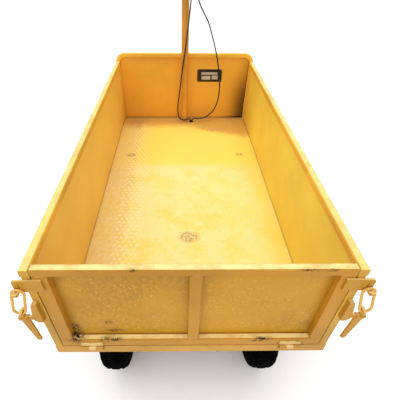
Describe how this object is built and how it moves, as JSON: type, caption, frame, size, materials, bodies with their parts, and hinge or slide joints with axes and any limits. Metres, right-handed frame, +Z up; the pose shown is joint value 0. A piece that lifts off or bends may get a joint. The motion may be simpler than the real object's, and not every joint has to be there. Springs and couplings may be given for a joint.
{
  "type": "electric platform cart",
  "caption": "Steel load box with a drop tailgate and side toggle latches on four pneumatic wheels, with a steered front axle, a steering mast and an electric rear drive.",
  "frame": {"origin": "on the ground under the middle of the cart's outline", "axes": "+Z up, +Y from the tailgate towards the headboard and mast, +X to the right of someone who looks along +Y"},
  "size_m": [1.0182, 1.7699, 1.473],
  "materials": {
    "orange_paint": "sprayed orange paint, dusty and chipped",
    "dark_metal": "black paint",
    "plain_steel": "zinc-plated steel",
    "spring_steel": "black spring steel",
    "cast_alloy": "cast aluminium",
    "tyre_rubber": "black tyre rubber",
    "grip_rubber": "black rubber",
    "black_plastic": "matt black plastic"
  },
  "bodies": {
    "root": {"battery_pack": "black_plastic", "battery_tray": "dark_metal", "brake_cable": "grip_rubber", "cable_grommet": "grip_rubber", "controller": "cast_alloy", "deck_frame": "orange_paint", "deck_plate": "orange_paint", "drive_motor": "dark_metal", "floor_bearing": "plain_steel", "front_axle": "dark_metal", "headboard_hoop": "orange_paint", "headboard_panel": "orange_paint", "hinge_pin_left": "plain_steel", "hinge_pin_right": "plain_steel", "latch_lug_left": "orange_paint", "latch_lug_right": "orange_paint", "leaf_spring_left": "spring_steel", "leaf_spring_right": "spring_steel", "mast_bush": "plain_steel", "mast_tube": "orange_paint", "rear_axle": "dark_metal", "side_frame_left": "orange_paint", "side_frame_right": "orange_paint", "side_panel_left": "orange_paint", "side_panel_right": "orange_paint", "spring_clamp_left": "plain_steel", "spring_clamp_right": "plain_steel", "throttle_cable": "grip_rubber"},
    "tailgate": {"gate_frame": "orange_paint", "gate_panel": "orange_paint", "hinge_leaf_left": "orange_paint", "hinge_leaf_right": "orange_paint", "latch_keeper_left": "orange_paint", "latch_keeper_right": "orange_paint"},
    "ring_left": {"latch_ring_left": "plain_steel"},
    "ring_right": {"latch_ring_right": "plain_steel"},
    "lever_left": {"latch_lever_left": "orange_paint"},
    "lever_right": {"latch_lever_right": "orange_paint"},
    "column": {"steering_shaft": "plain_steel", "handlebar": "plain_steel", "grip_left": "grip_rubber", "control_pod": "black_plastic", "brake_perch": "dark_metal", "throttle_housing": "dark_metal"},
    "throttle": {"throttle_grip": "grip_rubber"},
    "brake": {"brake_lever_left": "dark_metal"},
    "lock": {"key": "plain_steel"},
    "horn": {"horn_button": "dark_metal"},
    "drag_link": {"drag_link": "plain_steel"},
    "tie_rod": {"tie_rod": "plain_steel"},
    "knuckle_left": {"knuckle_left": "plain_steel"},
    "knuckle_right": {"knuckle_right": "plain_steel"},
    "wheel_fl": {"tyre_fl": "tyre_rubber", "rim_fl": "orange_paint"},
    "wheel_fr": {"tyre_fr": "tyre_rubber", "rim_fr": "orange_paint"},
    "wheel_rl": {"tyre_rl": "tyre_rubber", "rim_rl": "orange_paint"},
    "wheel_rr": {"tyre_rr": "tyre_rubber", "rim_rr": "orange_paint"}
  },
  "joints": [
    {"name": "tailgate_hinge", "type": "hinge", "parent": "root", "child": "tailgate", "pos_m": [0, -0.862, 0.4931], "axis": [1, 0, 0], "range_deg": [0, 180]},
    {"name": "ring_left_swing", "type": "hinge", "parent": "tailgate", "child": "ring_left", "pos_m": [-0.469, -0.86638, 0.81938], "axis": [-1, 0, 0], "range_deg": [0, 150]},
    {"name": "ring_right_swing", "type": "hinge", "parent": "tailgate", "child": "ring_right", "pos_m": [0.469, -0.86638, 0.81938], "axis": [-1, 0, 0], "range_deg": [0, 150]},
    {"name": "lever_left_swing", "type": "hinge", "parent": "root", "child": "lever_left", "pos_m": [-0.469, -0.86638, 0.69], "axis": [-1, 0, 0], "range_deg": [0, 120]},
    {"name": "lever_right_swing", "type": "hinge", "parent": "root", "child": "lever_right", "pos_m": [0.469, -0.86638, 0.69], "axis": [-1, 0, 0], "range_deg": [0, 120]},
    {"name": "steering", "type": "hinge", "parent": "root", "child": "column", "pos_m": [0, 0.82, 1.398], "axis": [0, 0, 1], "range_deg": [-25, 25]},
    {"name": "drag_link_pivot", "type": "hinge", "parent": "column", "child": "drag_link", "pos_m": [0, 0.87, 0.225], "axis": [0, 0, 1], "range_deg": [-25, 25]},
    {"name": "knuckle_right_pivot", "type": "hinge", "parent": "root", "child": "knuckle_right", "pos_m": [0.22, 0.345, 0.2075], "axis": [0, 0, 1], "range_deg": [-25, 25]},
    {"name": "knuckle_left_pivot", "type": "hinge", "parent": "root", "child": "knuckle_left", "pos_m": [-0.22, 0.345, 0.2075], "axis": [0, 0, 1], "range_deg": [-25, 25]},
    {"name": "tie_rod_pivot", "type": "hinge", "parent": "knuckle_right", "child": "tie_rod", "pos_m": [0.22, 0.255, 0.164], "axis": [0, 0, 1], "range_deg": [-25, 25]},
    {"name": "wheel_fl_spin", "type": "hinge", "parent": "knuckle_left", "child": "wheel_fl", "pos_m": [-0.308, 0.345, 0.2075], "axis": [1, 0, 0], "continuous": true},
    {"name": "wheel_fr_spin", "type": "hinge", "parent": "knuckle_right", "child": "wheel_fr", "pos_m": [0.308, 0.345, 0.2075], "axis": [1, 0, 0], "continuous": true},
    {"name": "wheel_rl_spin", "type": "hinge", "parent": "root", "child": "wheel_rl", "pos_m": [-0.308, -0.585, 0.2075], "axis": [1, 0, 0], "continuous": true},
    {"name": "wheel_rr_spin", "type": "hinge", "parent": "root", "child": "wheel_rr", "pos_m": [0.308, -0.585, 0.2075], "axis": [1, 0, 0], "continuous": true},
    {"name": "throttle_twist", "type": "hinge", "parent": "column", "child": "throttle", "pos_m": [0.29, 0.76, 1.453], "axis": [1, 0, 0], "range_deg": [0, 60], "stiffness_Nm_per_rad": 0.15},
    {"name": "brake_lever_left_pull", "type": "hinge", "parent": "column", "child": "brake", "pos_m": [-0.184, 0.796, 1.453], "axis": [0, 0, 1], "range_deg": [0, 12], "stiffness_Nm_per_rad": 1.2},
    {"name": "key_turn", "type": "hinge", "parent": "column", "child": "lock", "pos_m": [-0.0325, 0.745, 1.398], "axis": [0, 1, 0], "range_deg": [0, 90]},
    {"name": "horn_press", "type": "slide", "parent": "column", "child": "horn", "axis": [0, 1, 0], "range_m": [0, 0.003], "stiffness_N_per_m": 120}
  ],
  "couplings": [
    {"joint": "drag_link_pivot", "follows": "steering", "ratio": -1},
    {"joint": "knuckle_right_pivot", "follows": "steering", "ratio": 1},
    {"joint": "knuckle_left_pivot", "follows": "steering", "ratio": 1},
    {"joint": "tie_rod_pivot", "follows": "steering", "ratio": -1}
  ]
}
